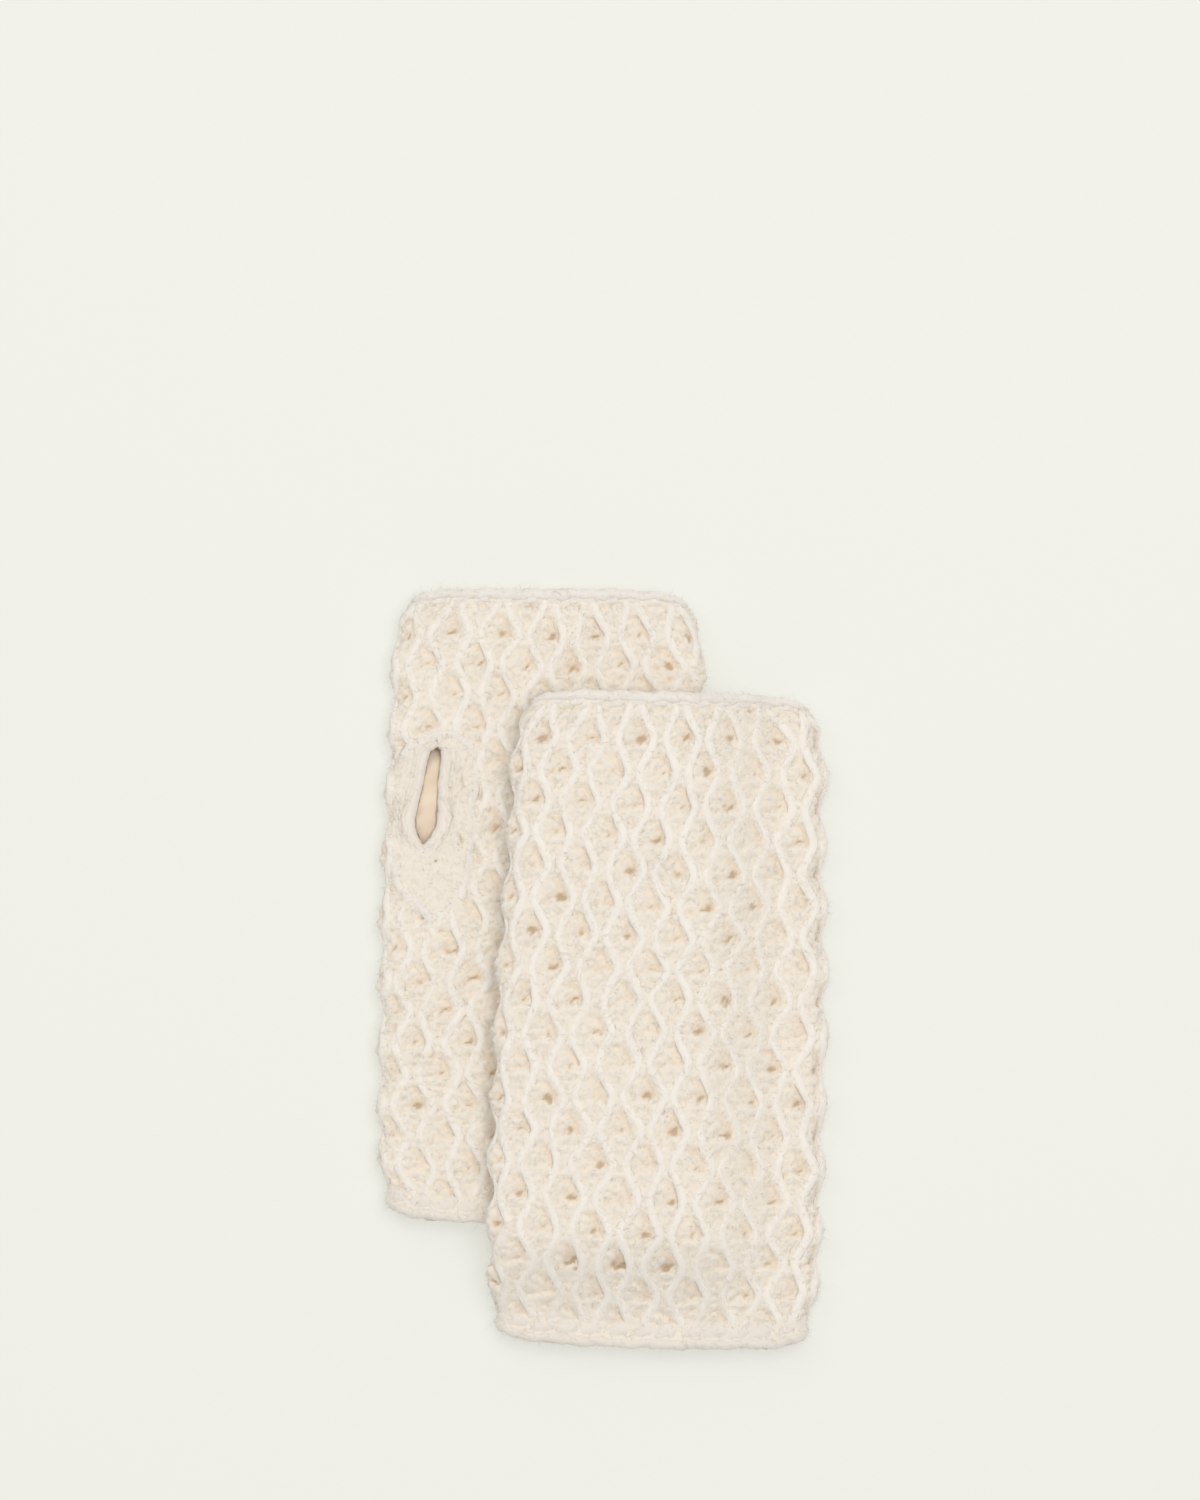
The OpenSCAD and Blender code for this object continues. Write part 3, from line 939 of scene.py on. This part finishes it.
def wool_material(name, light, shade, bump_depth):
    """Soft wool: fibre streaks, cloudy tone, painted warm shade in the recesses and darker painted shade in
    the openings.
    """
    material = bpy.data.materials.new(name)
    material.use_nodes = True
    material.diffuse_color = (*light, 1.0)
    tree = material.node_tree
    shader = tree.nodes["Principled BSDF"]
    shader.inputs["Roughness"].default_value = 0.95
    shader.inputs["Specular IOR Level"].default_value = 0.15
    shader.inputs["Sheen Weight"].default_value = 0.8
    shader.inputs["Sheen Roughness"].default_value = 0.6
    shader.inputs["Sheen Tint"].default_value = (1.0, 0.97, 0.92, 1.0)
    uv = tree.nodes.new("ShaderNodeUVMap")
    uv.uv_map = "yarn"
    lay = tree.nodes.new("ShaderNodeMapping")
    lay.inputs["Scale"].default_value = (9.0, 0.35, 1.0)
    lay.inputs["Rotation"].default_value = (0.0, 0.0, 0.35)
    streaks = node(tree, "ShaderNodeTexNoise", Scale=3.0, Detail=5.0, Roughness=0.6)
    place = tree.nodes.new("ShaderNodeTexCoord")
    clouds = node(tree, "ShaderNodeTexNoise", Scale=140.0, Detail=3.0, Roughness=0.55)
    mottle = node(tree, "ShaderNodeMapRange", To_Min=0.93, To_Max=1.03)
    bump = node(tree, "ShaderNodeBump", Strength=0.6, Distance=bump_depth * MM)
    # Painted shade: the shade colour in the recesses, then the darker painted shade of the openings
    tone = mix_colour(tree, "MIX", attribute_range(tree, "recess", 0.15, 0.8), light, shade)
    tone = mix_colour(tree, "MIX", attribute_range(tree, "hole", 0.3, 0.9), tone, HOLE_PAINTED_SHADE)
    tone = mix_colour(tree, "MULTIPLY", 1.0, tone, mottle.outputs["Result"])
    link = tree.links.new
    link(uv.outputs["UV"], lay.inputs["Vector"])
    link(lay.outputs["Vector"], streaks.inputs["Vector"])
    link(place.outputs["Object"], clouds.inputs["Vector"])
    link(clouds.outputs["Fac"], mottle.inputs["Value"])
    link(tone, shader.inputs["Base Color"])
    link(streaks.outputs["Fac"], bump.inputs["Height"])
    link(bump.outputs["Normal"], shader.inputs["Normal"])
    return material


def floor_material():
    material = bpy.data.materials.new("floor_paper")
    material.use_nodes = True
    shader = material.node_tree.nodes["Principled BSDF"]
    shader.inputs["Base Color"].default_value = (0.40, 0.40, 0.37, 1.0)
    shader.inputs["Emission Color"].default_value = (0.50, 0.50, 0.47, 1.0)
    shader.inputs["Emission Strength"].default_value = 0.95
    shader.inputs["Roughness"].default_value = 1.0
    shader.inputs["Specular IOR Level"].default_value = 0.0
    return material


# ---------------------------------------------------------------- stage


def make_floor():
    half = 3.0
    mesh = bpy.data.meshes.new("floor")
    corners = [(-half, -half, 0), (half, -half, 0), (half, half, 0), (-half, half, 0)]
    mesh.from_pydata(corners, [], [(0, 1, 2, 3)])
    floor = bpy.data.objects.new("floor", mesh)
    bpy.context.scene.collection.objects.link(floor)
    mesh.materials.append(floor_material())


def area_light(name, at, size, watts):
    """A round soft box that faces the gloves."""
    lamp = bpy.data.lights.new(name, "AREA")
    lamp.shape = "DISK"
    lamp.size = size
    lamp.energy = watts
    holder = bpy.data.objects.new(name, lamp)
    holder.location = at
    holder.rotation_euler = (-Vector(at)).to_track_quat("-Z", "Y").to_euler()
    bpy.context.scene.collection.objects.link(holder)


def make_lights():
    world = bpy.data.worlds.new("studio")
    world.use_nodes = True
    world.node_tree.nodes["Background"].inputs["Color"].default_value = (1.0, 1.0, 1.0, 1.0)
    world.node_tree.nodes["Background"].inputs["Strength"].default_value = 0.52
    bpy.context.scene.world = world
    area_light("key", (-0.9, 0.9, 1.6), 1.4, 4.5)
    area_light("top", (0.3, 0.35, 2.2), 1.5, 23.0)


def make_camera():
    """Straight above, far off with a long lens. The pair lies below and a little left of the middle."""
    view_height = 0.495
    aim_up = 0.0723
    distance = 3.0
    camera = bpy.data.cameras.new("camera")
    camera.sensor_fit = "VERTICAL"
    camera.sensor_height = 24.0
    camera.lens = camera.sensor_height * distance / view_height
    camera.clip_end = 20.0
    holder = bpy.data.objects.new("camera", camera)
    holder.location = (0.0, aim_up, distance)
    bpy.context.scene.collection.objects.link(holder)
    bpy.context.scene.camera = holder


# ---------------------------------------------------------------- the pair

make_camera()
make_lights()
make_floor()
bpy.context.scene.view_settings.view_transform = "Standard"

strand_wool = wool_material("ivory_wool_strands", (0.938, 0.876, 0.79), (0.93, 0.845, 0.732), STREAK_DEPTH)
fabric_wool = wool_material("ivory_wool_fabric", (0.962, 0.879, 0.757), (0.955, 0.805, 0.625), STREAK_DEPTH)
edge_wool = wool_material("ivory_wool_edging", (0.885, 0.825, 0.75), (0.87, 0.79, 0.69), STREAK_DEPTH)
# The hem's wool is a darker copy of the edging wool: painted shade on the hem
hem_wool_painted_shade = wool_material("ivory_wool_hem_painted_shade", (0.855, 0.79, 0.708), (0.842, 0.76, 0.655), STREAK_DEPTH)
fuzz_wool = wool_material("ivory_wool_fuzz", (0.97, 0.92, 0.84), (0.97, 0.92, 0.84), FIBRE_DEPTH)

# Each glove's name, random seed, shift of its cells round the tube, and whether its slit lies below
for glove in (Glove("rear", 11, 0.43, False), Glove("front", 31, 0.7, True)):
    body = f"{glove.name}_glove"
    yarns = {
        "honeycomb_fabric": (fabric(glove), fabric_wool, "ivory_knit"),
        "honeycomb_strands": (honeycomb_strands(glove), strand_wool, "ivory_knit"),
        "finger_bind_off": (finger_bind_off(glove), edge_wool, "ivory_edging"),
        "wrist_hem": (wrist_hem(glove), hem_wool_painted_shade, "ivory_edging"),
        "thumb_slit_lips": (thumb_slit_lips(glove), edge_wool, "ivory_edging"),
    }
    sources = [yarns[title][0] for title in yarns]
    for batch in range(FUZZ_PIECES):
        yarns[f"wool_fuzz_{batch + 1}"] = (wool_fuzz(sources), fuzz_wool, "ivory_knit")
    pieces = {}
    for title, (parts, wool, slot) in yarns.items():
        pieces[title] = parts.build(f"{glove.name}_{title}", wool)
        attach(pieces[title], body)
    sheet = pieces.pop("honeycomb_fabric")
    for panel in ("palm_panel", "back_panel", "thumb_fold", "outer_fold"):
        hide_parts(f"{glove.name}_{panel}")
    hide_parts(f"{glove.name}_finger_edge")
    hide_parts(f"{glove.name}_wrist_edge")
    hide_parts(f"{glove.name}_thumb_slit_edging")
    round_mm = 4 * (glove.flat_half(glove.length / 2) + FOLD_R)
